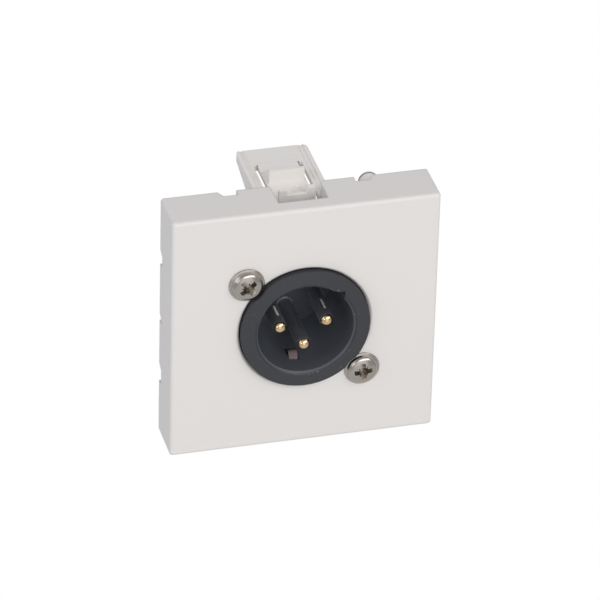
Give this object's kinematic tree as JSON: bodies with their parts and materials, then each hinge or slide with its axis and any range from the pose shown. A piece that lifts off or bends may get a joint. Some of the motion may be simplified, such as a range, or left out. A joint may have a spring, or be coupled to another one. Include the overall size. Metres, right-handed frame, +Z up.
{
  "type": "xlr wall socket",
  "caption": "Square wall-plate module with a round male XLR socket, held by two cross-recessed screws, with spring latches behind.",
  "frame": {"origin": "on the socket's axis, in the front face of the plate", "axes": "-Y out of the front of the plate, +X to the right seen from the front, +Z up"},
  "size_m": [0.045, 0.0266, 0.045],
  "materials": {
    "white_plastic": "fine satin moulding",
    "black_plastic": "satin moulding",
    "gold_brass": "gold-plated, polished",
    "copper_alloy": "bare rolled strip",
    "nickel_steel": "nickel-plated"
  },
  "bodies": {
    "housing": {"front_cover": "white_plastic", "carrier_frame": "white_plastic", "connector_shell": "black_plastic", "contact_insert": "black_plastic", "insert_clip": "nickel_steel", "contact_pin_1": "gold_brass", "contact_pin_2": "gold_brass", "contact_pin_3": "gold_brass", "shell_contact": "copper_alloy", "upper_flange_screw": "nickel_steel", "lower_flange_screw": "nickel_steel", "upper_lock_washer": "nickel_steel", "lower_lock_washer": "nickel_steel", "upper_flange_nut": "nickel_steel", "lower_flange_nut": "nickel_steel", "upper_frame_screw": "nickel_steel", "lower_frame_screw": "nickel_steel"},
    "top_spring_tongue": {"top_latch": "white_plastic"},
    "bottom_spring_tongue": {"bottom_latch": "white_plastic"}
  },
  "joints": [
    {"name": "top_latch_flex", "type": "hinge", "parent": "housing", "child": "top_spring_tongue", "pos_m": [0, 0.0196, 0.0192], "axis": [1, 0, 0], "range_deg": [0, 12], "stiffness_Nm_per_rad": 0.2},
    {"name": "bottom_latch_flex", "type": "hinge", "parent": "housing", "child": "bottom_spring_tongue", "pos_m": [0, 0.0196, -0.0192], "axis": [-1, 0, 0], "range_deg": [0, 12], "stiffness_Nm_per_rad": 0.2}
  ]
}
